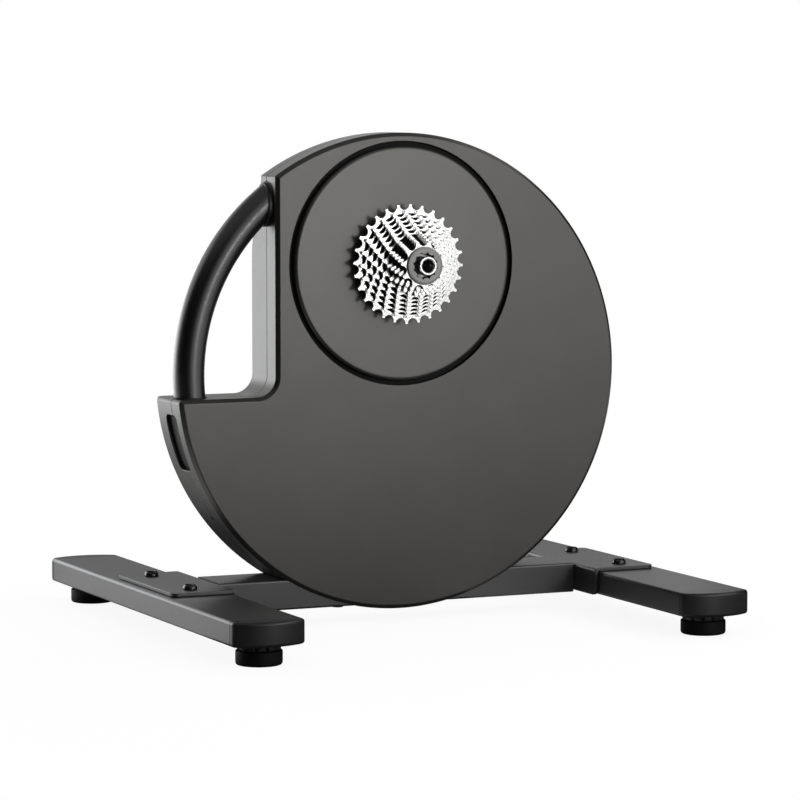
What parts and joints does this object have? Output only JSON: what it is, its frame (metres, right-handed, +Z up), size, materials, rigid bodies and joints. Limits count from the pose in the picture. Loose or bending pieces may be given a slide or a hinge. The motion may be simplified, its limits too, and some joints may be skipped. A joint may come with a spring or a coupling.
{
  "type": "bike trainer",
  "caption": "Direct-drive bike trainer: a round housing with a carrying handle, a hollow axle and a cassette, on an H-shaped base with levelling feet.",
  "frame": {"origin": "on the floor, under the centre of the base", "axes": "+Z up, +X towards the trainer's front end as the rider sits, -Y the drive side with the cassette"},
  "size_m": [0.54, 0.5316, 0.4859],
  "materials": {
    "shell_paint": "fine satin, warm dark grey",
    "cover_paint": "fine satin, a little lighter than the shells",
    "leg_paint": "fine satin powder coat, dark grey",
    "cap_plastic": "smooth, near black",
    "satin_black": "satin black",
    "black_plastic": "fine matt black",
    "rubber": "matt black",
    "black_steel": "glossy black",
    "dark_iron": "turned, dark coated",
    "bright_steel": "bright plated",
    "grey_steel": "satin grey",
    "cast_alloy": "as cast, machined seats",
    "coil_wire": "enamelled winding wire",
    "board": "green laminate",
    "light_lens": "clear lens"
  },
  "bodies": {
    "frame": {"leg_left": "leg_paint", "leg_right": "leg_paint", "leg_cap_left_front": "cap_plastic", "leg_cap_left_rear": "cap_plastic", "leg_cap_right_front": "cap_plastic", "leg_cap_right_rear": "cap_plastic", "bracket_left": "leg_paint", "bracket_right": "leg_paint", "bracket_bolt_left_front": "black_steel", "bracket_bolt_left_rear": "black_steel", "bracket_bolt_right_front": "black_steel", "bracket_bolt_right_rear": "black_steel", "crossbar": "leg_paint", "frame_bolt_left": "black_steel", "frame_bolt_right": "black_steel", "spine": "cast_alloy", "front_shell": "shell_paint", "rear_shell": "shell_paint", "hub_cover": "cover_paint", "handle": "satin_black", "handle_collar": "black_plastic", "handle_gasket": "rubber", "vent_grille": "black_plastic", "status_light": "light_lens", "power_inlet": "black_plastic", "control_board": "board", "speed_sensor": "black_plastic", "brake_core": "dark_iron", "brake_coil_1": "coil_wire", "brake_coil_2": "coil_wire", "brake_coil_3": "coil_wire", "brake_coil_4": "coil_wire", "axle": "grey_steel", "end_cap_drive_side": "bright_steel", "end_cap_rear": "bright_steel", "pulley_bearing": "grey_steel", "flywheel_bearing": "grey_steel", "belt": "rubber"},
    "drive_pulley": {"drive_pulley": "cast_alloy"},
    "cassette": {"freehub_body": "grey_steel", "lockring": "grey_steel", "sprockets_28_25_23": "bright_steel", "sprockets_21_19_17": "bright_steel", "sprocket_15": "bright_steel", "sprocket_14": "bright_steel", "sprocket_13": "bright_steel", "sprocket_12": "bright_steel", "sprocket_11": "bright_steel"},
    "flywheel": {"flywheel": "dark_iron", "flywheel_shaft": "grey_steel"},
    "idler_arm": {"idler_arm": "black_steel"},
    "idler_pulley": {"idler_pulley": "grey_steel"},
    "foot_wheel_left_front": {"foot_wheel_left_front": "black_plastic"},
    "foot_pad_left_front": {"foot_pad_left_front": "rubber"},
    "foot_wheel_left_rear": {"foot_wheel_left_rear": "black_plastic"},
    "foot_pad_left_rear": {"foot_pad_left_rear": "rubber"},
    "foot_wheel_right_front": {"foot_wheel_right_front": "black_plastic"},
    "foot_pad_right_front": {"foot_pad_right_front": "rubber"},
    "foot_wheel_right_rear": {"foot_wheel_right_rear": "black_plastic"},
    "foot_pad_right_rear": {"foot_pad_right_rear": "rubber"}
  },
  "joints": [
    {"name": "flywheel_spin", "type": "hinge", "parent": "frame", "child": "flywheel", "pos_m": [0.03, 0.009, 0.1622], "axis": [0, 1, 0], "continuous": true},
    {"name": "drive_spin", "type": "hinge", "parent": "frame", "child": "drive_pulley", "pos_m": [0, -0.0225, 0.3572], "axis": [0, 1, 0], "continuous": true},
    {"name": "freehub_spin", "type": "hinge", "parent": "drive_pulley", "child": "cassette", "pos_m": [0, -0.0477, 0.3572], "axis": [0, 1, 0], "continuous": true},
    {"name": "idler_arm_tilt", "type": "hinge", "parent": "frame", "child": "idler_arm", "pos_m": [-0.02842, -0.0074, 0.17846], "axis": [0, -1, 0], "range_deg": [0, 8], "stiffness_Nm_per_rad": 1, "springref_deg": -8.59},
    {"name": "idler_spin", "type": "hinge", "parent": "idler_arm", "child": "idler_pulley", "pos_m": [-0.04522, -0.021, 0.21486], "axis": [0, 1, 0], "continuous": true},
    {"name": "foot_turn_left_front", "type": "hinge", "parent": "frame", "child": "foot_wheel_left_front", "pos_m": [-0.234, -0.2284, 0.0202], "axis": [0, 0, 1], "range_deg": [0, 1440]},
    {"name": "foot_extend_left_front", "type": "slide", "parent": "frame", "child": "foot_pad_left_front", "axis": [0, 0, -1], "range_m": [0, 0.006]},
    {"name": "foot_turn_left_rear", "type": "hinge", "parent": "frame", "child": "foot_wheel_left_rear", "pos_m": [-0.234, 0.2284, 0.0202], "axis": [0, 0, 1], "range_deg": [0, 1440]},
    {"name": "foot_extend_left_rear", "type": "slide", "parent": "frame", "child": "foot_pad_left_rear", "axis": [0, 0, -1], "range_m": [0, 0.006]},
    {"name": "foot_turn_right_front", "type": "hinge", "parent": "frame", "child": "foot_wheel_right_front", "pos_m": [0.234, -0.2284, 0.0202], "axis": [0, 0, 1], "range_deg": [0, 1440]},
    {"name": "foot_extend_right_front", "type": "slide", "parent": "frame", "child": "foot_pad_right_front", "axis": [0, 0, -1], "range_m": [0, 0.006]},
    {"name": "foot_turn_right_rear", "type": "hinge", "parent": "frame", "child": "foot_wheel_right_rear", "pos_m": [0.234, 0.2284, 0.0202], "axis": [0, 0, 1], "range_deg": [0, 1440]},
    {"name": "foot_extend_right_rear", "type": "slide", "parent": "frame", "child": "foot_pad_right_rear", "axis": [0, 0, -1], "range_m": [0, 0.006]}
  ],
  "couplings": [
    {"joint": "drive_spin", "follows": "flywheel_spin", "ratio": 0.17241},
    {"joint": "idler_spin", "follows": "flywheel_spin", "ratio": -1.2238},
    {"joint": "foot_turn_left_front", "follows": "foot_extend_left_front", "rad_per_m": 4188.8},
    {"joint": "foot_turn_left_rear", "follows": "foot_extend_left_rear", "rad_per_m": 4188.8},
    {"joint": "foot_turn_right_front", "follows": "foot_extend_right_front", "rad_per_m": 4188.8},
    {"joint": "foot_turn_right_rear", "follows": "foot_extend_right_rear", "rad_per_m": 4188.8}
  ]
}
